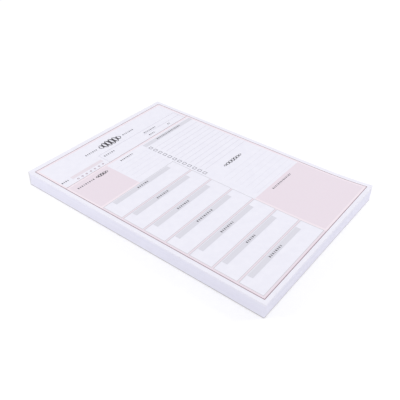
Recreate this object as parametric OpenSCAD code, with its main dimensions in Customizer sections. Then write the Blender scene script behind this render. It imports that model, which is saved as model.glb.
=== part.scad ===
// Weekly planner pad: a block of tear-off sheets on a stiff board, glued along
// its top edge, with a planner printed on the top sheet.
// X runs across the page, Y up the page and Z up from the table.
// The origin is the centre of the pad's footprint on the table.

/* [Pad] */
// Width of the sheets
page_w = 148; // [142:1:220]
// Height of the sheets
page_h = 210; // [200:1:300]
// Thickness of the block of sheets
sheets_t = 10.7; // [3:0.1:25]
// Thickness of the backing board
board_t = 0.8; // [0.4:0.1:3]

/* [Edge glue] */
// Thickness of the glue film on the top edge
glue_t = 0.5; // [0.3:0.1:1.5]
// Thickness of the glue that laps round the ends of the top edge
lap_t = 0.2; // [0.1:0.05:0.3]
// Length of that lap down each side
lap_len = 1.6; // [0.5:0.1:5]

/* [Curl of the free end] */
// Rise of the top sheet at its bottom right corner
curl_rise = 2.4; // [0.2:0.1:6]
// Height up the right edge at which the curl begins
curl_right = 60; // [30:1:100]
// Height up the left edge at which the curl begins
curl_left = 30; // [5:1:100]

/* [Border and boxes] */
// Bare paper outside the border line
margin = 3.3; // [1:0.1:5]
// How far the pad was cut off centre, so that its print lies to the left
print_left = 0.3; // [0:0.1:0.8]
// How far it was cut off centre, so that its print lies low
print_down = 0.6; // [0:0.1:0.8]
// Width of the border line
border_w = 0.5; // [0.2:0.05:1.5]
// Width of the tinted gap between the border line and the boxes
border_gap = 1.6; // [1:0.1:3]
// Width of the gutters between the parts of the page
gutter = 1.8; // [1:0.1:3]
// Width of the tinted gutter between two day boxes
box_gap = 1.2; // [0.8:0.1:2.4]
// Width of the day boxes' outlines and of the rule under the header
line_w = 0.3; // [0.15:0.05:0.6]
// Height of the header
header_h = 31.4; // [30:0.2:34]
// Width of the left column
left_col_w = 75.5; // [72:0.5:78]
// Width of the square tinted panel under the header
goals_w = 38; // [34:0.5:42]
// Height of the row of panels under the header
panels_h = 32.8; // [20:0.2:36]
// Number of day boxes
days = 7; // [5:1:7]
// Height of the tinted panel in the lower right corner
notes_h = 55.5; // [30:0.5:58]

/* [Bands and lists] */
// Height of a grey heading band
band_h = 4; // [2.5:0.1:5]
// Width of the grey band in each day box
band_w = 59; // [45:0.5:66]
// Bare paper between a day box's outline and its band
band_drop = 0.5; // [0.1:0.1:1]
// Number of tick boxes
ticks = 12; // [6:1:12]
// Distance from one line of a list to the next
list_pitch = 4.95; // [4:0.05:5]
// Size of a tick box
tick_size = 3; // [2:0.1:3.4]
// Width of a tick box's outline
tick_line = 0.4; // [0.2:0.05:0.6]
// Width of the lines that are written on in the check list and the header
rule_w = 0.2; // [0.1:0.05:0.4]
// Width of the fainter lines in the two plain lists
faint_rule_w = 0.15; // [0.1:0.05:0.4]

/* [Marks] */
// Height of a mark that stands for a printed caption
mark_h = 1.5; // [1:0.1:2]
// Distance from one stroke of such a mark to the next
mark_pitch = 1.9; // [1.2:0.1:2.5]
// Diameter of a weekday ring
ring_d = 1.7; // [1.2:0.1:2.4]
// Width of a weekday ring's line
ring_line = 0.35; // [0.2:0.05:0.5]
// Width of the ornament in the title's place
title_w = 24; // [18:0.5:26]
// Height of that ornament where it is highest
title_h = 8.5; // [4:0.5:10]
// Half the width of its strands where they are widest
title_nib = 0.95; // [0.3:0.05:1]
// Width of the ornament in the list heading's place
list_head_w = 23; // [14:0.5:30]
// Width of the small ornament in the tinted panel
goals_head_w = 12; // [6:0.5:13]
// Height of both of those where they are highest
head_h = 3.1; // [2:0.1:4]
// Half the width of their strands where they are widest
head_nib = 0.45; // [0.2:0.05:0.5]
// Half the width of any ornament's strands where they turn
nib_fine = 0.14; // [0.1:0.02:0.2]

/* [Ink] */
// Thickness of a film of ink
ink_t = 0.05; // [0.03:0.01:0.2]

/* [Hidden] */
$fn = 48;

// Page edges and heights
left_x = -page_w / 2;
bottom_y = -(page_h + glue_t) / 2;
top_y = bottom_y + page_h;
pad_t = board_t + sheets_t;

// Curl: the sheets bend about a line across the page that is a little skewed
curl_angle = atan((curl_right - curl_left) / page_w);
curl_reach = curl_right * cos(curl_angle);
curl_power = 3;
curl_steps = 10;
far = page_w + page_h;

// Columns and rows, as distances from the left and top edges of the page
border_end = margin + border_w;
inset = border_end + border_gap;
col_w = page_w - 2 * inset;
header_end = inset + header_h;
panels_top = header_end + gutter;
rows_top = panels_top + panels_h + gutter;
rows_end = page_h - inset;
row_pitch = (rows_end - rows_top + box_gap) / days;
row_h = row_pitch - box_gap;
band_v = line_w + band_drop;
right_x = inset + left_col_w + gutter;
right_w = page_w - inset - right_x;
right_mid = right_x + right_w / 2;
left_mid = inset + left_col_w / 2;
notes_top = rows_end - notes_h;

// Check list and the list below it
checklist_top = panels_top + 0.8 * gutter;
first_tick = checklist_top + band_h + 0.68 * list_pitch;
list_head_v = first_tick + (ticks + 0.25) * list_pitch;
list_top = list_head_v + 1.75 * list_pitch;
list_lines = max(0, floor((notes_top - list_top) / list_pitch - 0.2) + 1);
writing_x = right_x + 1.9 * tick_size;

// Title
title_x = 0.47 * page_w;
title_v = inset + 0.346 * header_h;
title_mark_w = 13;
title_mark_x = title_w / 2 + 0.68 * title_mark_w;

// Ruled fields in the right part of the header
field_x = inset + 0.318 * col_w;
field_w = 0.671 * col_w;
field_h = 0.415 * header_h;
field_v = header_end - field_h;
field_split_x = field_x + 0.505 * field_w;
field_split_v = field_v + 0.46 * field_h;

// Date and weekdays in the left part
date_w = field_x - inset;
date_v = header_end - 0.205 * header_h;
date_bar_x = inset + 0.225 * date_w;
date_bar_w = 0.72 * date_w;
date_bar_h = 0.104 * header_h;
ring_pitch = date_bar_w / 7.4;
ring_v = header_end - 0.075 * header_h;

// Marks in the fields: middle and height of each in the fields, and its length, as shares
field_marks = [[0.09, 0.3, 0.13], [0.61, 0.3, 0.16], [0.575, 0.71, 0.08], [0.81, 0.71, 0.04]];

// Lines of the two headings in the row of panels
goals_head_v = panels_top + 1.05 * list_pitch;
ruled_head_v = panels_top + 0.67 * list_pitch;

// Lengths of the marks in the day boxes, as shares of the band
day_marks = [0.2, 0.21, 0.22, 0.3, 0.25, 0.18, 0.26];

// Widths of the strokes in a mark, as shares of the distance between them, in turn
stroke_fill = [0.52, 0.36, 0.46, 0.3];

function reversed(list) = [for (i = [len(list) - 1:-1:0]) list[i]];

// Height that the curl adds at a distance s past the line where it begins
function rise(s) = curl_rise * pow(max(0, s) / curl_reach, curl_power);

// Section through the curl at a height above the table where the sheets lie flat
function curl_section(height) = concat(
    [[-far, height]],
    [for (i = [0:curl_steps + 1]) let (s = curl_reach * i / curl_steps) [s, height + rise(s)]]
);

// Solid across the whole page with the given section square to the line of the curl
module across_page(section) {
    translate([left_x, bottom_y + curl_left, 0])
        rotate([90, 0, curl_angle - 90])
            linear_extrude(2 * far, center = true)
                polygon(section);
}

// Film of ink on the top sheet, or on a field that is printed already
module printed(on_tint = false) {
    low = pad_t + (on_tint ? ink_t : 0);
    intersection() {
        linear_extrude(2 * pad_t + curl_rise * 2)
            translate([-print_left, -print_down]) children();
        across_page(concat(curl_section(low + ink_t), reversed(curl_section(low))));
    }
}

// Moves to a point given from the left and top edges of the page
module at(x, v) {
    translate([left_x + x, top_y - v]) children();
}

// Rectangle whose upper left corner is given from the left and top edges of the page
module area(x, v, w, h) {
    at(x, v + h) square([w, h]);
}

// Outline just inside such a rectangle
module outline(x, v, w, h, line) {
    difference() {
        area(x, v, w, h);
        area(x + line, v + line, w - 2 * line, h - 2 * line);
    }
}

// Row of short upright strokes that stands for a printed caption, centred on x
module caption(x, v, w) {
    count = max(2, round(w / mark_pitch));
    pitch = w / count;
    for (i = [0:count - 1]) {
        stroke_w = pitch * stroke_fill[i % 4];
        area(x - w / 2 + pitch * (i + 0.5) - stroke_w / 2, v - mark_h / 2, stroke_w, mark_h);
    }
}

// Rule under the header, from one side of the border to the other
module header_rule() {
    area(border_end, header_end, page_w - 2 * border_end, line_w);
}

module goals_panel() {
    area(inset, panels_top, goals_w, panels_h);
}

module notes_panel() {
    area(right_x, notes_top, right_w, notes_h);
}

// Field that the day boxes stand on, out to the border
module day_field() {
    area(border_end, rows_top, inset + left_col_w - border_end, page_h - border_end - rows_top);
}

// One strand of a braid: a wave that dies away at both ends, wide where it crosses
// the other strand and fine where it turns
module strand(w, h, loops, nib) {
    steps = 16 * loops;
    swell = [for (i = [0:steps]) pow(sin(180 * i / steps), 0.4)];
    middle = [for (i = [0:steps])
        [w * (i / steps - 0.5), h / 2 * swell[i] * sin(180 * loops * i / steps)]];
    edge = [for (i = [0:steps]) let (
        along = middle[min(i + 1, steps)] - middle[max(i - 1, 0)],
        normal = [-along[1], along[0]] / norm(along),
        half = nib_fine + (nib - nib_fine) * swell[i] * pow(cos(180 * loops * i / steps), 2)
    ) [middle[i] + normal * half, middle[i] - normal * half]];
    polygon(concat([for (e = edge) e[0]], reversed([for (e = edge) e[1]])));
}

// Printer's ornament of two strands that are braided
module braid(w, h, loops, nib) {
    for (side = [0, 1])
        mirror([0, side]) strand(w, h, loops, nib);
}

module sheets() {
    color([0.93, 0.92, 0.96])
        intersection() {
            linear_extrude(2 * pad_t + curl_rise * 2) area(0, 0, page_w, page_h);
            across_page(concat(
                curl_section(pad_t),
                [[1.5 * curl_reach, board_t], [-far, board_t]]
            ));
        }
}

module backing_board() {
    color([0.72, 0.71, 0.70])
        linear_extrude(board_t) area(0, 0, page_w, page_h);
}

module edge_glue() {
    color([0.90, 0.90, 0.89])
        linear_extrude(pad_t)
            difference() {
                union() {
                    at(-lap_t, lap_len) square([page_w + 2 * lap_t, lap_len]);
                    at(glue_t - lap_t, 0) square([page_w + 2 * (lap_t - glue_t), glue_t]);
                    for (x = [glue_t - lap_t, page_w + lap_t - glue_t])
                        at(x, 0) circle(glue_t);
                }
                area(0, 0, page_w, page_h);
            }
}

module border_line() {
    color([0.76, 0.62, 0.68])
        printed() {
            outline(margin, margin, page_w - 2 * margin, page_h - 2 * margin, border_w);
            header_rule();
        }
}

// The gap inside the border and the gutters round the tinted panels, up to the bare lists
module gutter_tint() {
    color([0.96, 0.91, 0.94])
        printed()
            difference() {
                area(border_end, border_end, page_w - 2 * border_end, page_h - 2 * border_end);
                area(inset, inset, col_w, header_h);
                header_rule();
                goals_panel();
                area(inset + goals_w, panels_top, left_col_w - goals_w, rows_top - panels_top);
                day_field();
                area(inset + left_col_w, panels_top, col_w - left_col_w, notes_top - panels_top);
                notes_panel();
            }
}

module box_outlines() {
    color([0.79, 0.79, 0.81])
        printed()
            for (i = [0:days - 1])
                outline(inset, rows_top + i * row_pitch, left_col_w, row_h, line_w);
}

module pink_panels() {
    color([0.93, 0.86, 0.89])
        printed() {
            goals_panel();
            notes_panel();
            difference() {
                day_field();
                for (i = [0:days - 1])
                    area(inset, rows_top + i * row_pitch, left_col_w, row_h);
            }
        }
}

module grey_bands() {
    color([0.86, 0.86, 0.90])
        printed() {
            for (i = [0:days - 1])
                area(left_mid - band_w / 2, rows_top + i * row_pitch + band_v, band_w, band_h);
            area(right_x, checklist_top, right_w, band_h);
        }
}

module date_bar() {
    color([0.91, 0.87, 0.90])
        printed()
            area(date_bar_x, date_v - date_bar_h / 2, date_bar_w, date_bar_h);
}

module field_box() {
    color([0.80, 0.79, 0.83])
        printed() {
            outline(field_x, field_v, field_w, field_h, rule_w);
            area(field_split_x, field_split_v, field_x + field_w - rule_w - field_split_x, rule_w);
        }
}

module weekday_rings() {
    color([0.55, 0.54, 0.58])
        printed()
            for (i = [0:6])
                at(date_bar_x + (i + 0.7) * ring_pitch, ring_v)
                    difference() {
                        circle(d = ring_d);
                        circle(d = ring_d - 2 * ring_line);
                    }
}

module tick_boxes() {
    color([0.66, 0.65, 0.70])
        printed()
            for (i = [0:ticks - 1])
                outline(right_x + 0.05 * tick_size, first_tick + i * list_pitch - tick_size / 2,
                        tick_size, tick_size, tick_line);
}

// Lines to write on in the right column, from the given height down
module writing_lines(first, count, line) {
    for (i = [0:count - 1])
        area(writing_x, first + i * list_pitch, right_x + right_w - 0.2 * list_pitch - writing_x, line);
}

module check_lines() {
    color([0.84, 0.83, 0.88])
        printed()
            writing_lines(first_tick + 0.5 * list_pitch, ticks - 1, rule_w);
}

module ruled_lines() {
    note_x = inset + goals_w + 0.45 * list_pitch;
    note_end = inset + left_col_w - 0.2 * list_pitch;
    color([0.89, 0.88, 0.92])
        printed() {
            writing_lines(list_top, list_lines, faint_rule_w);
            for (i = [1:floor(panels_h / list_pitch) - 1])
                area(note_x, panels_top + (i + 0.65) * list_pitch, note_end - note_x, faint_rule_w);
        }
}

module captions() {
    color([0.36, 0.35, 0.38]) {
        printed(on_tint = true) {
            for (i = [0:days - 1])
                caption(left_mid, rows_top + i * row_pitch + band_v + band_h / 2, band_w * day_marks[i]);
            caption(right_mid, checklist_top + band_h / 2, 0.5 * right_w);
            caption(inset + 0.31 * goals_w, goals_head_v, 0.44 * goals_w);
            caption(right_mid, notes_top + 0.066 * notes_h, 0.43 * right_w);
        }
        printed() {
            for (side = [-1, 1])
                caption(title_x + side * title_mark_x, title_v, title_mark_w);
            caption(inset + 0.085 * date_w, date_v, 0.16 * date_w);
            for (mark = field_marks)
                caption(field_x + mark[0] * field_w, field_v + mark[1] * field_h, mark[2] * field_w);
            caption(inset + (goals_w + left_col_w) / 2, ruled_head_v, 0.38 * (left_col_w - goals_w));
        }
    }
}

module title_ornament() {
    color([0.30, 0.29, 0.32])
        printed()
            at(title_x, title_v) braid(title_w, title_h, 6, title_nib);
}

module heading_ornaments() {
    color([0.32, 0.31, 0.34]) {
        printed(on_tint = true)
            at(inset + 0.735 * goals_w, goals_head_v) braid(goals_head_w, head_h, 5, head_nib);
        printed()
            at(right_mid, list_head_v) braid(list_head_w, head_h, 7, head_nib);
    }
}

sheets();
backing_board();
edge_glue();
border_line();
gutter_tint();
box_outlines();
pink_panels();
grey_bands();
date_bar();
field_box();
weekday_rings();
tick_boxes();
check_lines();
ruled_lines();
captions();
title_ornament();
heading_ornaments();
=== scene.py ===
import math
import random

import bpy
from mathutils import Matrix, Vector, noise


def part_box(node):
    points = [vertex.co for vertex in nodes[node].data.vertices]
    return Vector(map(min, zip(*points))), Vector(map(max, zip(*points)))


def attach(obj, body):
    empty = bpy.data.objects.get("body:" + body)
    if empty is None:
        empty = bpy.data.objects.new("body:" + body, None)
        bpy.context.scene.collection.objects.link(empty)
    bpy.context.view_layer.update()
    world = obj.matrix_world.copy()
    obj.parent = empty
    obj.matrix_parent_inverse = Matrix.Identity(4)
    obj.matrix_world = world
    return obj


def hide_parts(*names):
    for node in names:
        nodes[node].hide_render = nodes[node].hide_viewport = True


# Weekly planner pad: its looks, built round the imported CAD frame.
# X runs across the page, Y up the page to its glued edge and Z up from the table, in metres.

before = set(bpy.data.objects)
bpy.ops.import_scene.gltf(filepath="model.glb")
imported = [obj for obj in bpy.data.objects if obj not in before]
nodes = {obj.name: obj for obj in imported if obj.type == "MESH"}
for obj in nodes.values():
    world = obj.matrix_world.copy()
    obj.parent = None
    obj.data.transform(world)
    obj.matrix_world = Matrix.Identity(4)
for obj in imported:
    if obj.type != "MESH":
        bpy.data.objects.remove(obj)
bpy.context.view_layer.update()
scene = bpy.context.scene
scene.view_settings.view_transform = "Standard"
mm = 0.001
print("frame loaded with", len(nodes), "nodes")


def linear(hexColour):
    # an sRGB hex value as the linear colour that a shader wants
    channels = [int(hexColour[i:i + 2], 16) / 255 for i in (1, 3, 5)]
    return [c / 12.92 if c <= 0.04045 else ((c + 0.055) / 1.055) ** 2.4 for c in channels] + [1.0]


def addNode(tree, kind, inputs=None, **settings):
    # adds a node, sets its properties, and sets or links each of its inputs
    node = tree.nodes.new(kind)
    for name, value in settings.items():
        setattr(node, name, value)
    for socket, value in (inputs or {}).items():
        if isinstance(value, bpy.types.NodeSocket):
            tree.links.new(value, node.inputs[socket])
        else:
            node.inputs[socket].default_value = value
    return node


def newTree(name):
    # a material with nothing in it, and its node tree
    material = bpy.data.materials.new(name)
    material.use_nodes = True
    material.node_tree.nodes.clear()
    return material, material.node_tree


def newPiece(name, points, faces, materials, faceMaterials=None, sharpAngle=35):
    # a mesh object made from points and faces, smooth across the edges that are flatter than sharpAngle
    mesh = bpy.data.meshes.new(name)
    mesh.from_pydata(points, [], faces)
    for material in materials:
        mesh.materials.append(material)
    if faceMaterials:
        mesh.polygons.foreach_set("material_index", faceMaterials)
    mesh.polygons.foreach_set("use_smooth", [True] * len(faces))
    mesh.set_sharp_from_angle(angle=math.radians(sharpAngle))
    mesh.update()
    piece = bpy.data.objects.new(name, mesh)
    scene.collection.objects.link(piece)
    return piece


# Camera, where the photograph was taken from, worked out from the straight edges of the pad
cameraView = {
    "azimuth": -53.8,  # degrees round the pad, where 0 looks up the page
    "elevation": 37.51,  # degrees above the table
    "roll": 2.09,
    "aim": (-19.25, -15.55, 11.5),  # mm, the point of the page in the middle of the picture
    "distance": 400.2,  # mm from there to the camera
    "lens": 50.64,  # mm, on a 36 mm sensor
}


def makeCamera():
    data = bpy.data.cameras.new("camera")
    data.lens = cameraView["lens"]
    data.sensor_width = 36
    data.clip_start = 10 * mm
    turn = (
        Matrix.Rotation(math.radians(cameraView["azimuth"]), 4, "Z")
        @ Matrix.Rotation(math.radians(90 - cameraView["elevation"]), 4, "X")
        @ Matrix.Rotation(math.radians(cameraView["roll"]), 4, "Z")
    )
    back = turn @ Vector((0, 0, cameraView["distance"] * mm))
    camera = bpy.data.objects.new("camera", data)
    camera.matrix_world = Matrix.Translation(Vector(cameraView["aim"]) * mm + back) @ turn
    scene.collection.objects.link(camera)
    scene.camera = camera


makeCamera()
print("camera placed")


# Studio: an even white surround, a low soft lamp beyond two opposite corners of the pad, and a white table
studio = {
    "surround": 0.76,  # strength of the light from all round
    "lampPower": 3.0,  # watts
    "lampSize": 500,  # mm
    "lampPlaces": ((-650, 650, 450), (650, -650, 450)),  # mm
    "tableSize": 12000,  # mm
    "tableDrop": 0.02,  # mm under the board, so that the two never share a plane
    "tableColour": "#e4e4e6",
    "tableGlow": 0.3,  # added where the camera looks at the table, so that it reads as white
    "farGlow": 0.46,  # the same past the lamps' reach, so that the horizon shows no grey band
    "farFrom": 450,  # mm from the middle of the pad to where the glow begins to rise
    "farTo": 1000,
}


def seenRays(tree):
    # 1 for a ray from the camera, off a shiny surface or through a clear one, and 0 for scattered light
    path = addNode(tree, "ShaderNodeLightPath")
    seen = addNode(tree, "ShaderNodeMath", {
        0: path.outputs["Is Camera Ray"], 1: path.outputs["Is Glossy Ray"]}, operation="MAXIMUM")
    seen = addNode(tree, "ShaderNodeMath", {
        0: seen.outputs[0], 1: path.outputs["Is Transmission Ray"]}, operation="MAXIMUM")
    return seen.outputs[0]


def makeStudio():
    world = bpy.data.worlds.new("surround")
    scene.world = world
    world.use_nodes = True
    tree = world.node_tree
    tree.nodes.clear()
    strength = addNode(tree, "ShaderNodeMapRange", {
        "Value": seenRays(tree), "To Min": studio["surround"], "To Max": 1})
    light = addNode(tree, "ShaderNodeBackground", {"Color": (1, 1, 1, 1), "Strength": strength.outputs[0]})
    addNode(tree, "ShaderNodeOutputWorld", {"Surface": light.outputs[0]})

    lamp = bpy.data.lights.new("softLamp", "AREA")
    lamp.shape = "DISK"
    lamp.size = studio["lampSize"] * mm
    lamp.energy = studio["lampPower"]
    for place in studio["lampPlaces"]:
        holder = bpy.data.objects.new("softLamp", lamp)
        holder.location = Vector(place) * mm
        holder.rotation_euler = (-holder.location).to_track_quat("-Z", "Y").to_euler()
        scene.collection.objects.link(holder)


def makeTable():
    # matt white card: it takes the pad's shadow, and glows a little for the camera so that it reads as white
    material, tree = newTree("matt white card")
    place = addNode(tree, "ShaderNodeTexCoord").outputs["Object"]
    away = addNode(tree, "ShaderNodeVectorMath", {0: place}, operation="LENGTH")
    level = addNode(tree, "ShaderNodeMapRange", {
        "Value": away.outputs["Value"], "From Min": studio["farFrom"] * mm, "From Max": studio["farTo"] * mm,
        "To Min": studio["tableGlow"], "To Max": studio["farGlow"]})
    glow = addNode(tree, "ShaderNodeMath", {0: seenRays(tree), 1: level.outputs[0]}, operation="MULTIPLY")
    card = addNode(tree, "ShaderNodeBsdfDiffuse", {"Color": linear(studio["tableColour"])})
    shine = addNode(tree, "ShaderNodeEmission", {"Strength": glow.outputs[0]})
    both = addNode(tree, "ShaderNodeAddShader", {0: card.outputs[0], 1: shine.outputs[0]})
    addNode(tree, "ShaderNodeOutputMaterial", {"Surface": both.outputs[0]})
    reach = studio["tableSize"] / 2 * mm
    drop = -studio["tableDrop"] * mm
    corners = [(x * reach, y * reach, drop) for x, y in ((-1, -1), (1, -1), (1, 1), (-1, 1))]
    table = newPiece("table", corners, [(0, 1, 2, 3)], [material])


makeStudio()
makeTable()
print("studio lit")


# Noise patterns keep nearly all their values between these two
noiseLow, noiseHigh = 0.3, 0.7

# Paper: uncoated wood-free writing paper, machine smooth.
# It gives the eye a dead matt, faintly lavender white, a little cloudy where its fibres lie thicker.
paper = {
    "thickWhite": "#f2f1fb",
    "thinWhite": "#eeedf8",
    "cloudSize": 5.0,  # mm; real formation is 1 to 3 mm, drawn coarser so that it shows from a step away
    "toothSize": 0.5,  # mm; real fibres are 0.02 mm wide, drawn coarser so that they catch the light
    "toothDepth": 0.012,  # mm
    "toothStrength": 0.5,
    "smoothest": 0.88,  # roughness where the fibres lie thick
    "roughest": 0.96,
}


def paperTooth(tree, place):
    # the fine felted relief of the sheet, which ink printed on it keeps
    tooth = addNode(tree, "ShaderNodeTexNoise", {
        "Vector": place, "Scale": 1 / (paper["toothSize"] * mm), "Detail": 3, "Roughness": 0.6})
    relief = addNode(tree, "ShaderNodeBump", {
        "Height": tooth.outputs["Fac"], "Strength": paper["toothStrength"],
        "Distance": paper["toothDepth"] * mm})
    return relief.outputs[0]


def makePaper():
    material, tree = newTree("uncoated writing paper")
    place = addNode(tree, "ShaderNodeTexCoord").outputs["Object"]
    clouds = addNode(tree, "ShaderNodeTexNoise", {
        "Vector": place, "Scale": 1 / (paper["cloudSize"] * mm), "Detail": 4, "Roughness": 0.55})
    spread = addNode(tree, "ShaderNodeMapRange", {
        "Value": clouds.outputs["Fac"], "From Min": noiseLow, "From Max": noiseHigh})
    colour = addNode(tree, "ShaderNodeMix", {
        0: spread.outputs[0], 6: linear(paper["thinWhite"]), 7: linear(paper["thickWhite"])},
        data_type="RGBA")
    rough = addNode(tree, "ShaderNodeMapRange", {
        "Value": clouds.outputs["Fac"], "To Min": paper["roughest"], "To Max": paper["smoothest"]})
    surface = addNode(tree, "ShaderNodeBsdfPrincipled", {
        "Base Color": colour.outputs[2], "Roughness": rough.outputs[0], "IOR": 1.5, "Specular IOR Level": 0.3,
        "Normal": paperTooth(tree, place)})
    addNode(tree, "ShaderNodeOutputMaterial", {"Surface": surface.outputs[0]})
    return material


# Cut edges of the sheets, all sliced at once by a guillotine.
# They give the eye faint stripes along the block, one for each few sheets, a shade deeper than the page;
# that deeper tone is partly the edges' own and partly painted shade for the fine gaps between the sheets.
# The edge is also painted paler near the top, a painted highlight for the light that gets in between the
# upper sheets, which lie looser.
cutEdge = {
    "pale": "#f2f1fd",
    # the deeper stripes are partly the edges' own tone and partly painted shade for the gaps between the
    # sheets
    "deep": "#e9e8f8",
    # painted highlight: the paler colour that the top of the edge is painted, for the light reaching the
    # upper sheets
    "paintedTopLight": "#f9f8ff",
    "paintedTopLightFrom": 9.3,  # mm above the table
    "paintedTopLightTo": 12.5,
    "stripe": 0.32,  # mm; a sheet is 0.107 mm, drawn three together so that the stripes show
    "stripeRun": 45,  # mm along the block before a stripe changes
    "knifeMark": 1.4,  # mm between the faint upright marks that the knife leaves
    "markSquash": 0.02,  # how slowly the marks change upwards, next to how they do along the edge
    "markDepth": 0.01,  # mm
    "markStrength": 0.5,
    "smoothest": 0.9,
    "roughest": 0.98,
}


def makeCutEdge():
    material, tree = newTree("guillotined paper edge")
    place = addNode(tree, "ShaderNodeTexCoord").outputs["Object"]
    along = 1 / (cutEdge["stripeRun"] * mm)
    across = 1 / (cutEdge["stripe"] * mm)
    flat = addNode(tree, "ShaderNodeVectorMath", {0: place, 1: (along, along, across)}, operation="MULTIPLY")
    stripes = addNode(tree, "ShaderNodeTexNoise", {"Vector": flat.outputs[0], "Scale": 1, "Detail": 2})
    spread = addNode(tree, "ShaderNodeMapRange", {
        "Value": stripes.outputs["Fac"], "From Min": noiseLow, "From Max": noiseHigh})
    # stripes mixed between the deeper and paler edge tones; the deeper ones are partly painted shade between
    # the sheets
    colour = addNode(tree, "ShaderNodeMix", {
        0: spread.outputs[0], 6: linear(cutEdge["deep"]), 7: linear(cutEdge["pale"])}, data_type="RGBA")
    height = addNode(tree, "ShaderNodeSeparateXYZ", {"Vector": place})
    # painted highlight: the edge is painted paler with height over its top few millimetres, for the light
    # reaching the upper sheets
    paintedTopLight = addNode(tree, "ShaderNodeMapRange", {
        "Value": height.outputs["Z"], "From Min": cutEdge["paintedTopLightFrom"] * mm,
        "From Max": cutEdge["paintedTopLightTo"] * mm})
    colour = addNode(tree, "ShaderNodeMix", {
        0: paintedTopLight.outputs[0], 6: colour.outputs[2], 7: linear(cutEdge["paintedTopLight"])}, data_type="RGBA")
    side = 1 / (cutEdge["knifeMark"] * mm)
    upright = addNode(tree, "ShaderNodeVectorMath", {
        0: place, 1: (side, side, cutEdge["markSquash"] * side)}, operation="MULTIPLY")
    marks = addNode(tree, "ShaderNodeTexNoise", {"Vector": upright.outputs[0], "Scale": 1, "Detail": 3})
    relief = addNode(tree, "ShaderNodeBump", {
        "Height": marks.outputs["Fac"], "Strength": cutEdge["markStrength"],
        "Distance": cutEdge["markDepth"] * mm})
    rough = addNode(tree, "ShaderNodeMapRange", {
        "Value": marks.outputs["Fac"], "To Min": cutEdge["roughest"], "To Max": cutEdge["smoothest"]})
    surface = addNode(tree, "ShaderNodeBsdfPrincipled", {
        "Base Color": colour.outputs[2], "Roughness": rough.outputs[0], "IOR": 1.5, "Specular IOR Level": 0.2,
        "Normal": relief.outputs[0]})
    addNode(tree, "ShaderNodeOutputMaterial", {"Surface": surface.outputs[0]})
    return material


# Block of sheets: each sheet is there, glued at the top edge and fanned a little where the free end curls
sheetBlock = {
    "sheets": 100,
    "airGap": 0.006,  # mm between two sheets that lie flat
    "fan": 2.2,  # how far the upper sheets take the curl before the lower ones; 1 shares it evenly
    "clumping": 9,  # how much wider the widest gaps between the fanned sheets are
    "clumpPower": 5,  # the higher, the fewer of those there are
    "gapFill": 0.55,  # share of a fanned gap drawn as paper, since light comes through real sheets into it
    "slip": 0.09,  # mm that a sheet's free end lies out of line, sideways
    "endSlip": 0.6,  # how far it does up and down the page, as a share of slip
    "ownSlip": 0.2,  # how far it strays from its neighbours, as a share of slip
    "slipRun": 12,  # sheets over which the slip changes
    "acrossPage": 6,  # strips of mesh across a sheet
    "alongCurl": 20,  # strips of mesh down the curled part
    "alongFlat": 4,  # strips of mesh down the flat part
    "curlLength": 64,  # mm of the page, from its free end, that holds the curl
    "seed": 11,
}


def curlHeights(xs, ys, flatTop):
    # how far the CAD block's top face stands above its flat part, at each crossing of the mesh
    inside = 0.01 * mm
    overhead = 1.0  # metre, well above the pad
    heights = []
    for y in ys:
        for x in xs:
            start = Vector((max(xs[0] + inside, min(x, xs[-1] - inside)),
                            max(ys[0] + inside, min(y, ys[-1] - inside)), overhead))
            spot = nodes["sheets"].ray_cast(start, Vector((0, 0, -1)))[1]
            heights.append(spot.z - flatTop)
    return heights


def curlShares(count):
    # how much of the curl each sheet takes, from none for the lowest to all of it for the top one
    gaps = [(i / count) ** sheetBlock["fan"]
            * (1 + sheetBlock["clumping"] * random.random() ** sheetBlock["clumpPower"])
            for i in range(1, count)]
    share = [0.0]
    for gap in gaps:
        share.append(share[-1] + gap / sum(gaps))
    return share


def wander(count, size):
    # a smooth random path that stays within size of nought
    run = sheetBlock["slipRun"]
    steps = [random.uniform(-1, 1) for i in range(count + run)]
    smooth = [sum(steps[i:i + run]) / run for i in range(count)]
    largest = max(abs(s) for s in smooth)
    return [size * s / largest for s in smooth]


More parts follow.
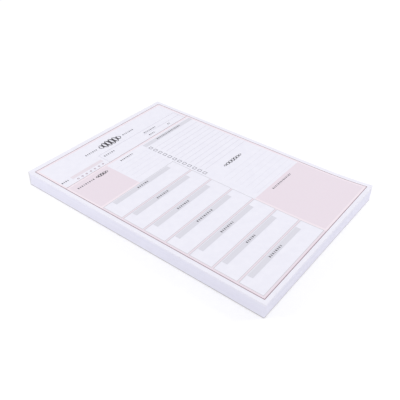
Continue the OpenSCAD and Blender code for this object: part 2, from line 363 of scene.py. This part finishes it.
def makeSheets(paperMaterial, edgeMaterial):
    random.seed(sheetBlock["seed"])
    low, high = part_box("sheets")
    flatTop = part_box("edge_glue")[1].z
    count = sheetBlock["sheets"]
    pitch = (flatTop - low.z) / count
    air = sheetBlock["airGap"] * mm
    across = sheetBlock["acrossPage"]
    curlEnd = low.y + sheetBlock["curlLength"] * mm
    xs = [low.x + (high.x - low.x) * i / across for i in range(across + 1)]
    ys = [low.y + (curlEnd - low.y) * i / sheetBlock["alongCurl"] for i in range(sheetBlock["alongCurl"])]
    ys += [curlEnd + (high.y - curlEnd) * i / sheetBlock["alongFlat"]
           for i in range(sheetBlock["alongFlat"] + 1)]
    lift = curlHeights(xs, ys, flatTop)
    share = curlShares(count)
    slip = sheetBlock["slip"] * mm
    sideways = wander(count, slip)
    endways = wander(count, sheetBlock["endSlip"] * slip)

    wide, deep = len(xs), len(ys)
    rim = [(i, 0) for i in range(wide)] + [(wide - 1, j) for j in range(1, deep)]
    rim += [(i, deep - 1) for i in range(wide - 2, -1, -1)] + [(0, j) for j in range(deep - 2, 0, -1)]
    points, faces, faceMaterials = [], [], []
    for sheet in range(count):
        stray = random.uniform(-1, 1) * sheetBlock["ownSlip"] * slip
        base = low.z + air + sheet * pitch
        start = len(points)
        above = share[min(sheet + 1, count - 1)]
        filled = share[sheet] + (above - share[sheet]) * sheetBlock["gapFill"]
        for side, bend in ((0, share[sheet]), (pitch - air, filled)):
            for j, y in enumerate(ys):
                free = (high.y - y) / (high.y - low.y)
                for i, x in enumerate(xs):
                    z = base + side + lift[j * wide + i] * bend
                    points.append((x + (sideways[sheet] + stray) * free, y + endways[sheet] * free, z))
        upper = start + wide * deep
        for j in range(deep - 1):
            for i in range(wide - 1):
                a = j * wide + i
                faces.append((upper + a, upper + a + 1, upper + a + wide + 1, upper + a + wide))
                faces.append((start + a, start + a + wide, start + a + wide + 1, start + a + 1))
                faceMaterials += [0, 0]
        for (i, j), (k, m) in zip(rim, rim[1:] + rim[:1]):
            a, b = j * wide + i, m * wide + k
            faces.append((start + a, start + b, upper + b, upper + a))
            faceMaterials.append(1)
    piece = newPiece("tear_off_sheets", points, faces, [paperMaterial, edgeMaterial], faceMaterials)
    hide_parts("sheets")
    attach(piece, "root")


paperMaterial = makePaper()
edgeMaterial = makeCutEdge()
makeSheets(paperMaterial, edgeMaterial)
print("sheets laid")


# Print: offset ink, which sinks into uncoated paper and dries as matt as the paper round it.
# It gives the eye flat soft tints with the paper's tooth in them,
# a little mottled where the ink took unevenly.
inkColours = {
    "border_line": ("dusty pink ink", "#9d858f"),
    "gutter_tint": ("palest pink ink", "#f4e8f0"),
    "box_outlines": ("outline grey ink", "#c9c9cf"),
    "pink_panels": ("pale pink ink", "#ebdfe9"),
    "grey_bands": ("pale grey ink", "#dddce6"),
    "date_bar": ("pink grey ink", "#e8dfe8"),
    "field_box": ("line grey ink", "#c9c6d2"),
    "weekday_rings": ("rose grey ink", "#a58b98"),
    "tick_boxes": ("mid grey ink", "#8c8a94"),
    "check_lines": ("pale line grey ink", "#d5d2de"),
    "ruled_lines": ("faint grey ink", "#e4e2ec"),
    "captions": ("dark grey ink", "#68666e"),
    "title_ornament": ("black grey ink", "#4a484e"),
    "heading_ornaments": ("black grey ink", "#4a484e"),
}
inkLay = {
    "mottleSize": 1.6,  # mm
    "mottle": 0.05,  # share by which the ink thins in its lightest places
    "thickFrom": 0.35,  # below this the noise leaves the ink whole
    "thinFrom": 0.75,  # above this it thins it most
    "smoothest": 0.84,
    "roughest": 0.94,
}


def makeInk(name, hexColour):
    material, tree = newTree(name)
    place = addNode(tree, "ShaderNodeTexCoord").outputs["Object"]
    patches = addNode(tree, "ShaderNodeTexNoise", {
        "Vector": place, "Scale": 1 / (inkLay["mottleSize"] * mm), "Detail": 5, "Roughness": 0.65})
    thin = addNode(tree, "ShaderNodeMapRange", {
        "Value": patches.outputs["Fac"], "From Min": inkLay["thickFrom"], "From Max": inkLay["thinFrom"],
        "To Max": inkLay["mottle"]})
    colour = addNode(tree, "ShaderNodeMix", {
        0: thin.outputs[0], 6: linear(hexColour), 7: linear(paper["thickWhite"])}, data_type="RGBA")
    rough = addNode(tree, "ShaderNodeMapRange", {
        "Value": patches.outputs["Fac"], "To Min": inkLay["smoothest"], "To Max": inkLay["roughest"]})
    surface = addNode(tree, "ShaderNodeBsdfPrincipled", {
        "Base Color": colour.outputs[2], "Roughness": rough.outputs[0], "IOR": 1.5, "Specular IOR Level": 0.3,
        "Normal": paperTooth(tree, place)})
    addNode(tree, "ShaderNodeOutputMaterial", {"Surface": surface.outputs[0]})
    return material


inks = {}
for node, (name, hexColour) in inkColours.items():
    if name not in inks:
        inks[name] = makeInk(name, hexColour)
    for slot in nodes[node].material_slots:
        slot.material = inks[name]
print("print inked with", len(inks), "inks")


# Padding glue: white water-based padding compound, brushed on the jogged edge and dried to a rubbery film.
# It gives the eye a neutral white skin, a little waxy, with soft brush streaks along the edge.
glueFilm = {
    "colour": "#ececec",
    "thinColour": "#f1f0f4",
    "smoothest": 0.4,
    "roughest": 0.62,
    "streak": 0.05,  # mm that the brush marks stand up or sink
    "streakRun": 14,  # mm along the edge
    "streakPitch": 1.3,  # mm up the edge
    "hairPitch": 0.52,  # mm up the edge between the finer marks of the brush's hairs
    "hairDepth": 0.03,  # mm
    "hairStrength": 0.5,
    "bury": 0.02,  # mm that the film reaches into the edge of the paper
    "lapShort": 0.4,  # mm by which a lap stops short of the CAD's
    "lapWaver": 0.45,  # mm that the end of a lap wanders
    "waverPitch": 2.1,  # mm up the edge
    "lapFill": 0.95,  # thickness of a lap, as a share of the CAD's
    "lapEnd": 0.01,  # mm of film where a lap ends
    "lapStreak": 0.5,  # depth of the brush marks on a lap, as a share of that on the edge
    "cornerPull": 0.5,  # how far a corner is drawn in, as a share of the film's thickness
    "edgeRound": 0.35,  # mm over which the film thins at the top and the bottom
    "edgeThin": 0.2,  # what is left of its thickness there, as a share
    "along": 1.2,  # mm of mesh along the edge
    "up": 16,  # strips of mesh up the edge
    "turn": 6,  # strips of mesh down a lap, and round a corner
}


def makeGlueMaterial():
    material, tree = newTree("dried padding glue")
    place = addNode(tree, "ShaderNodeTexCoord").outputs["Object"]
    run = 1 / (glueFilm["streakRun"] * mm)
    pitch = 1 / (glueFilm["hairPitch"] * mm)
    drawn = addNode(tree, "ShaderNodeVectorMath", {0: place, 1: (run, run, pitch)}, operation="MULTIPLY")
    hairs = addNode(tree, "ShaderNodeTexNoise", {"Vector": drawn.outputs[0], "Scale": 1, "Detail": 4})
    colour = addNode(tree, "ShaderNodeMix", {
        0: hairs.outputs["Fac"], 6: linear(glueFilm["colour"]), 7: linear(glueFilm["thinColour"])},
        data_type="RGBA")
    rough = addNode(tree, "ShaderNodeMapRange", {
        "Value": hairs.outputs["Fac"], "To Min": glueFilm["smoothest"], "To Max": glueFilm["roughest"]})
    relief = addNode(tree, "ShaderNodeBump", {
        "Height": hairs.outputs["Fac"], "Strength": glueFilm["hairStrength"],
        "Distance": glueFilm["hairDepth"] * mm})
    surface = addNode(tree, "ShaderNodeBsdfPrincipled", {
        "Base Color": colour.outputs[2], "Roughness": rough.outputs[0], "IOR": 1.47,
        "Normal": relief.outputs[0]})
    addNode(tree, "ShaderNodeOutputMaterial", {"Surface": surface.outputs[0]})
    return material


def glueSurfaces(levels, stations):
    # points of the film's outer and inner faces, one for each level at each station round the edge
    low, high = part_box("edge_glue")
    pageLow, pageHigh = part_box("sheets")
    lapThick = high.x - pageHigh.x
    lapLength = pageHigh.y - low.y
    filmThick = high.y - pageHigh.y
    bury = glueFilm["bury"] * mm
    thin = glueFilm["edgeThin"]
    outer, inner = [], []
    for number, (part, t) in enumerate(stations):
        side = -1 if number < len(stations) // 2 else 1
        for z in levels:
            fromEnd = min(z - low.z, high.z - z) / (glueFilm["edgeRound"] * mm)
            full = math.sqrt(max(0, 1 - (1 - min(1, fromEnd)) ** 2)) * (1 - thin) + thin
            # the last number in each vector picks a slice of the noise
            streakAt = Vector((number * glueFilm["along"] / glueFilm["streakRun"],
                               z / mm / glueFilm["streakPitch"], 3))
            waverAt = Vector((side * 7, z / mm / glueFilm["waverPitch"], 9))
            streak = noise.noise(streakAt) * glueFilm["streak"] * mm
            waver = noise.noise(waverAt) * glueFilm["lapWaver"] * mm
            if part == "side":
                y = pageHigh.y - (lapLength - glueFilm["lapShort"] * mm + waver) * t
                lap = (lapThick + streak * glueFilm["lapStreak"]) * full * math.sqrt(max(0, 1 - t ** 4))
                lap = lap * glueFilm["lapFill"] + glueFilm["lapEnd"] * mm
                outer.append((side * (pageHigh.x + lap), y, z))
                inner.append((side * (pageHigh.x - bury), y, z))
            elif part == "corner":
                turn = math.pi / 2 * t
                pull = filmThick * full * glueFilm["cornerPull"] * math.sin(turn)
                x = pageHigh.x + lapThick * full * math.cos(turn) - pull
                outer.append((side * x, pageHigh.y + (filmThick + streak) * full * math.sin(turn), z))
                inner.append((side * (pageHigh.x - bury), pageHigh.y - bury * (1 - t), z))
            else:
                x = pageLow.x + (pageHigh.x - pageLow.x) * t
                outer.append((x, pageHigh.y + (filmThick + streak) * full, z))
                inner.append((x, pageHigh.y - bury, z))
    return outer, inner


def makeGlue(material):
    low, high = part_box("edge_glue")
    up = glueFilm["up"]
    turn = glueFilm["turn"]
    levels = [low.z + (high.z - low.z) * (1 - math.cos(math.pi * k / up)) / 2 for k in range(up + 1)]

    # stations round the edge: how far down the side, the corner's angle, or how far along the top
    steps = int((high.x - low.x) / (glueFilm["along"] * mm))
    stations = [("side", 1 - i / turn) for i in range(turn)] + [("corner", i / turn) for i in range(turn + 1)]
    stations += [("top", i / steps) for i in range(1, steps)]
    stations += [("corner", 1 - i / turn) for i in range(turn + 1)]
    stations += [("side", i / turn) for i in range(1, turn + 1)]
    outer, inner = glueSurfaces(levels, stations)

    size = len(outer)
    wide = up + 1
    faces = []
    for s in range(len(stations) - 1):
        for k in range(up):
            a = s * wide + k
            faces.append((a, a + 1, a + wide + 1, a + wide))
            faces.append((size + a, size + a + wide, size + a + wide + 1, size + a + 1))
        a, b = s * wide, s * wide + up
        faces.append((a, a + wide, size + a + wide, size + a))
        faces.append((b, size + b, size + b + wide, b + wide))
    last = (len(stations) - 1) * wide
    for k in range(up):
        faces.append((k, size + k, size + k + 1, k + 1))
        faces.append((last + k, last + k + 1, size + last + k + 1, size + last + k))
    piece = newPiece("edge_glue_film", outer + inner, faces, [material], sharpAngle=60)
    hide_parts("edge_glue")
    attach(piece, "root")


makeGlue(makeGlueMaterial())
print("glue brushed on")


# Backing board: unlined grey chipboard, pressed from recycled paper and cut with the pad.
# It gives the eye a light grey flecked with darker and paler fibres, and a fuzzy layered edge.
board = {
    "colour": "#cdcbce",
    "darkFleck": "#aba9ac",
    "paleFleck": "#e0dee0",
    "darkAt": 0.15,  # where each of the three lies on the scale from dark to pale
    "colourAt": (0.4, 0.65),
    "paleAt": 0.95,
    "fleckSize": 0.7,  # mm
    "fleckDepth": 0.04,  # mm
    "fleckStrength": 0.6,
    "ply": 0.16,  # mm, one layer of the board seen at its edge
    "plyRun": 6.0,  # mm along the edge before a layer changes
    "smoothest": 0.9,
    "roughest": 1.0,
    "easing": 0.07,  # mm by which the cut edges are crushed round
    "fuzz": 0.025,  # mm
    "fuzzSize": 0.9,  # mm
    "meshStep": 4.0,  # mm
}


def makeBoardMaterial():
    material, tree = newTree("grey chipboard")
    place = addNode(tree, "ShaderNodeTexCoord").outputs["Object"]
    flecks = addNode(tree, "ShaderNodeTexNoise", {
        "Vector": place, "Scale": 1 / (board["fleckSize"] * mm), "Detail": 5, "Roughness": 0.7})
    along = 1 / (board["plyRun"] * mm)
    plies = addNode(tree, "ShaderNodeVectorMath", {
        0: place, 1: (along, along, 1 / (board["ply"] * mm))}, operation="MULTIPLY")
    layers = addNode(tree, "ShaderNodeTexNoise", {"Vector": plies.outputs[0], "Scale": 1, "Detail": 3})
    both = addNode(tree, "ShaderNodeMath", {
        0: flecks.outputs["Fac"], 1: layers.outputs["Fac"]}, operation="ADD")
    spread = addNode(tree, "ShaderNodeMapRange", {
        "Value": both.outputs[0], "From Min": 2 * noiseLow, "From Max": 2 * noiseHigh})
    ramp = addNode(tree, "ShaderNodeValToRGB", {"Fac": spread.outputs[0]})
    stops = ramp.color_ramp.elements
    stops[0].position, stops[0].color = board["darkAt"], linear(board["darkFleck"])
    stops[1].position, stops[1].color = board["paleAt"], linear(board["paleFleck"])
    for position in board["colourAt"]:
        stops.new(position).color = linear(board["colour"])
    relief = addNode(tree, "ShaderNodeBump", {
        "Height": flecks.outputs["Fac"], "Strength": board["fleckStrength"],
        "Distance": board["fleckDepth"] * mm})
    rough = addNode(tree, "ShaderNodeMapRange", {
        "Value": flecks.outputs["Fac"], "To Min": board["smoothest"], "To Max": board["roughest"]})
    surface = addNode(tree, "ShaderNodeBsdfPrincipled", {
        "Base Color": ramp.outputs[0], "Roughness": rough.outputs[0], "IOR": 1.5, "Specular IOR Level": 0.2,
        "Normal": relief.outputs[0]})
    addNode(tree, "ShaderNodeOutputMaterial", {"Surface": surface.outputs[0]})
    return material


def makeBoard(material):
    low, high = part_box("backing_board")
    wide = round((high.x - low.x) / (board["meshStep"] * mm))
    deep = round((high.y - low.y) / (board["meshStep"] * mm))
    ease = board["easing"] * mm
    sideLevels = [low.z + ease, (low.z + high.z) / 2, high.z - ease]
    rim = [(i, 0) for i in range(wide)] + [(wide, j) for j in range(deep)]
    rim += [(i, deep) for i in range(wide, 0, -1)] + [(0, j) for j in range(deep, 0, -1)]

    def spot(i, j, z, inset):
        x = low.x + inset + (high.x - low.x - 2 * inset) * i / wide
        y = low.y + inset + (high.y - low.y - 2 * inset) * j / deep
        if (i in (0, wide) or j in (0, deep)) and inset == 0:
            fuzz = (noise.noise(Vector((x, y, z)) / (board["fuzzSize"] * mm)) - 1) * board["fuzz"] * mm
            x += fuzz * (i == wide) - fuzz * (i == 0)
            y += fuzz * (j == deep) - fuzz * (j == 0)
        return x, y, z

    points, faces = [], []
    for z in (low.z, high.z):
        points += [spot(i, j, z, ease) for j in range(deep + 1) for i in range(wide + 1)]
    row = wide + 1
    top = row * (deep + 1)
    for j in range(deep):
        for i in range(wide):
            a = j * row + i
            faces.append((a, a + row, a + row + 1, a + 1))
            faces.append((top + a, top + a + 1, top + a + row + 1, top + a + row))
    rings = [[j * row + i for i, j in rim]]
    for z in sideLevels:
        rings.append([len(points) + k for k in range(len(rim))])
        points += [spot(i, j, z, 0) for i, j in rim]
    rings.append([top + j * row + i for i, j in rim])
    for lower, upper in zip(rings, rings[1:]):
        for k in range(len(rim)):
            n = (k + 1) % len(rim)
            faces.append((lower[k], lower[n], upper[n], upper[k]))
    piece = newPiece("grey_backing_board", points, faces, [material], sharpAngle=50)
    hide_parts("backing_board")
    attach(piece, "root")


makeBoard(makeBoardMaterial())
print("board cut")
